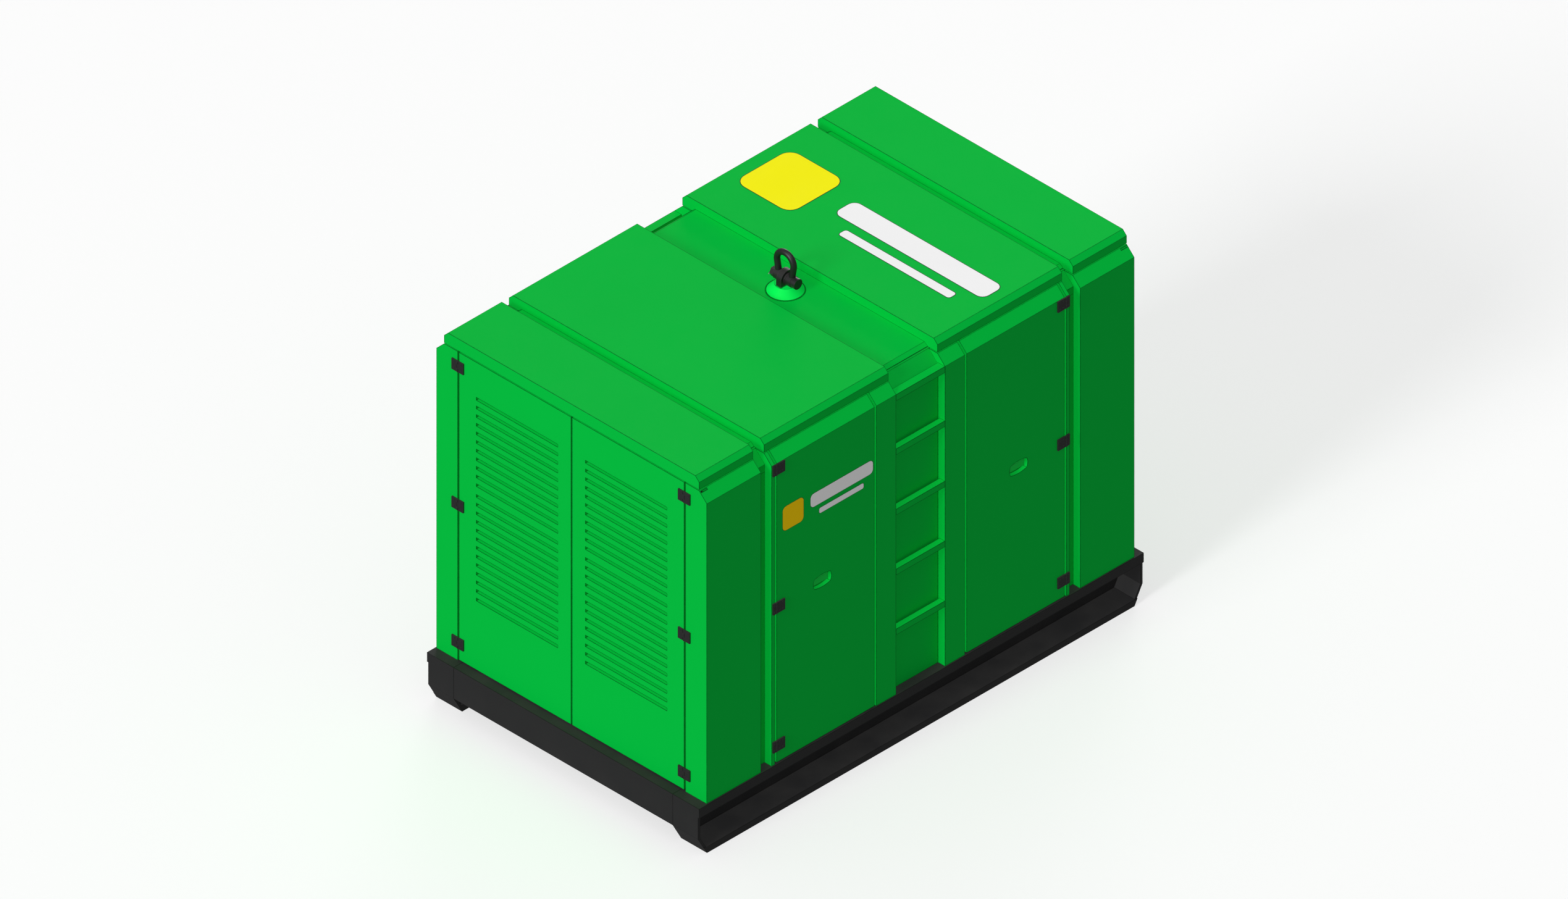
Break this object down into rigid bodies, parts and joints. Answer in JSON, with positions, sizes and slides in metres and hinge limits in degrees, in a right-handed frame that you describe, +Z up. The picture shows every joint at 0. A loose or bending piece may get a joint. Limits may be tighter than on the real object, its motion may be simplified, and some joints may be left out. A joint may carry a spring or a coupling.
{
  "type": "diesel generator set",
  "caption": "Skid-mounted diesel generator in a lockable sound-proof canopy, with hinged doors, louvred ends, side ladders and a single lifting shackle.",
  "frame": {"origin": "middle of the skid's footprint, on the ground", "axes": "+X along the length towards the control end, -X is the radiator end, +Z up, ladders on both Y sides"},
  "size_m": [2.57, 1.581, 2.011],
  "materials": {
    "skid_paint": "satin black paint",
    "canopy_paint": "gloss green powder coat",
    "frame_paint": "green powder coat",
    "forged_black": "forged steel, black paint",
    "hinge_black": "black paint",
    "handle_paint": "green powder coat",
    "engine_paint": "grey engine enamel",
    "sump_paint": "grey enamel",
    "exhaust_steel": "heat-stained steel",
    "filter_black": "moulded black",
    "tank_plastic": "rotomoulded black polyethylene",
    "radiator_black": "black coated fins",
    "fan_plastic": "moulded black",
    "shaft_steel": "machined steel",
    "rubber_black": "moulded rubber",
    "alternator_paint": "grey enamel",
    "cabinet_grey": "light grey powder coat",
    "button_red": "red plastic",
    "lever_black": "black plastic",
    "neck_steel": "black paint"
  },
  "bodies": {
    "frame": {"air_cleaner": "filter_black", "alternator_stator": "alternator_paint", "battery": "filter_black", "bed_rails": "skid_paint", "canopy_frame": "frame_paint", "control_cabinet": "cabinet_grey", "corner_posts": "canopy_paint", "cylinder_head": "engine_paint", "door_posts": "canopy_paint", "drive_belt": "rubber_black", "engine_block": "engine_paint", "engine_filters": "filter_black", "exhaust_silencer": "exhaust_steel", "floor_plate": "skid_paint", "fuel_filler_neck": "neck_steel", "fuel_tank": "tank_plastic", "hinge_fixed_leaves": "hinge_black", "ladder_left": "canopy_paint", "ladder_right": "canopy_paint", "lifting_cone": "canopy_paint", "lifting_frame": "frame_paint", "lifting_lug": "forged_black", "oil_sump": "sump_paint", "radiator": "radiator_black", "roof_caps": "canopy_paint", "roof_deck": "canopy_paint", "shackle_pin": "forged_black", "skid_cross_members": "skid_paint", "skid_end_beams": "skid_paint", "skid_runner_left": "skid_paint", "skid_runner_right": "skid_paint", "starter_motor": "sump_paint", "vibration_mounts": "rubber_black"},
    "side_door_front_left": {"side_door_front_left": "canopy_paint", "side_hinges_front_left": "hinge_black"},
    "door_handle_front_left": {"door_handle_front_left": "handle_paint"},
    "end_door_front_left": {"end_door_front_left": "canopy_paint", "end_hinges_front_left": "hinge_black"},
    "side_door_front_right": {"side_door_front_right": "canopy_paint", "side_hinges_front_right": "hinge_black"},
    "door_handle_front_right": {"door_handle_front_right": "handle_paint"},
    "end_door_front_right": {"end_door_front_right": "canopy_paint", "end_hinges_front_right": "hinge_black"},
    "side_door_rear_left": {"side_door_rear_left": "canopy_paint", "side_hinges_rear_left": "hinge_black"},
    "door_handle_rear_left": {"door_handle_rear_left": "handle_paint"},
    "end_door_rear_left": {"end_door_rear_left": "canopy_paint", "end_hinges_rear_left": "hinge_black"},
    "side_door_rear_right": {"side_door_rear_right": "canopy_paint", "side_hinges_rear_right": "hinge_black"},
    "door_handle_rear_right": {"door_handle_rear_right": "handle_paint"},
    "end_door_rear_right": {"end_door_rear_right": "canopy_paint", "end_hinges_rear_right": "hinge_black"},
    "shackle": {"shackle_bow": "forged_black"},
    "crank": {"crankshaft": "shaft_steel", "alternator_rotor": "shaft_steel"},
    "fan": {"cooling_fan": "fan_plastic"},
    "filler_cap": {"fuel_cap": "fan_plastic"},
    "emergency_stop": {"emergency_stop": "button_red"},
    "breaker_lever": {"breaker_lever": "lever_black"}
  },
  "joints": [
    {"name": "side_door_swing_front_left", "type": "hinge", "parent": "frame", "child": "side_door_front_left", "pos_m": [-0.83725, -0.786, 1.031], "axis": [0, 0, -1], "range_deg": [0, 115]},
    {"name": "handle_pull_front_left", "type": "hinge", "parent": "side_door_front_left", "child": "door_handle_front_left", "pos_m": [-0.567, -0.7695, 1.049], "axis": [-1, 0, 0], "range_deg": [0, 40], "stiffness_Nm_per_rad": 0.6},
    {"name": "end_door_swing_front_left", "type": "hinge", "parent": "frame", "child": "end_door_front_left", "pos_m": [-1.2405, -0.6545, 1.031], "axis": [0, 0, 1], "range_deg": [0, 115]},
    {"name": "side_door_swing_front_right", "type": "hinge", "parent": "frame", "child": "side_door_front_right", "pos_m": [-0.83725, 0.786, 1.031], "axis": [0, 0, 1], "range_deg": [0, 115]},
    {"name": "handle_pull_front_right", "type": "hinge", "parent": "side_door_front_right", "child": "door_handle_front_right", "pos_m": [-0.567, 0.7695, 1.049], "axis": [1, 0, 0], "range_deg": [0, 40], "stiffness_Nm_per_rad": 0.6},
    {"name": "end_door_swing_front_right", "type": "hinge", "parent": "frame", "child": "end_door_front_right", "pos_m": [-1.2405, 0.6545, 1.031], "axis": [0, 0, -1], "range_deg": [0, 115]},
    {"name": "side_door_swing_rear_left", "type": "hinge", "parent": "frame", "child": "side_door_rear_left", "pos_m": [0.83725, -0.786, 1.031], "axis": [0, 0, 1], "range_deg": [0, 115]},
    {"name": "handle_pull_rear_left", "type": "hinge", "parent": "side_door_rear_left", "child": "door_handle_rear_left", "pos_m": [0.567, -0.7695, 1.049], "axis": [-1, 0, 0], "range_deg": [0, 40], "stiffness_Nm_per_rad": 0.6},
    {"name": "end_door_swing_rear_left", "type": "hinge", "parent": "frame", "child": "end_door_rear_left", "pos_m": [1.2405, -0.6545, 1.031], "axis": [0, 0, -1], "range_deg": [0, 115]},
    {"name": "side_door_swing_rear_right", "type": "hinge", "parent": "frame", "child": "side_door_rear_right", "pos_m": [0.83725, 0.786, 1.031], "axis": [0, 0, -1], "range_deg": [0, 115]},
    {"name": "handle_pull_rear_right", "type": "hinge", "parent": "side_door_rear_right", "child": "door_handle_rear_right", "pos_m": [0.567, 0.7695, 1.049], "axis": [1, 0, 0], "range_deg": [0, 40], "stiffness_Nm_per_rad": 0.6},
    {"name": "end_door_swing_rear_right", "type": "hinge", "parent": "frame", "child": "end_door_rear_right", "pos_m": [1.2405, 0.6545, 1.031], "axis": [0, 0, 1], "range_deg": [0, 115]},
    {"name": "shackle_swing", "type": "hinge", "parent": "frame", "child": "shackle", "pos_m": [0, 0, 1.874], "axis": [0, 1, 0], "range_deg": [-85, 85]},
    {"name": "crank_spin", "type": "hinge", "parent": "frame", "child": "crank", "pos_m": [0, 0, 0.64], "axis": [1, 0, 0], "continuous": true},
    {"name": "fan_spin", "type": "hinge", "parent": "frame", "child": "fan", "pos_m": [-0.65, 0, 0.88], "axis": [1, 0, 0], "continuous": true},
    {"name": "filler_cap_turn", "type": "hinge", "parent": "frame", "child": "filler_cap", "pos_m": [0.345, -0.5, 0.43], "axis": [0, 0, 1], "range_deg": [0, 90]},
    {"name": "emergency_stop_press", "type": "slide", "parent": "frame", "child": "emergency_stop", "axis": [-1, 0, 0], "range_m": [0, 0.006], "stiffness_N_per_m": 1500},
    {"name": "breaker_throw", "type": "hinge", "parent": "frame", "child": "breaker_lever", "pos_m": [1.15, 0.15, 0.945], "axis": [0, -1, 0], "range_deg": [0, 60]}
  ],
  "couplings": [
    {"joint": "fan_spin", "follows": "crank_spin", "ratio": 1.1875}
  ]
}
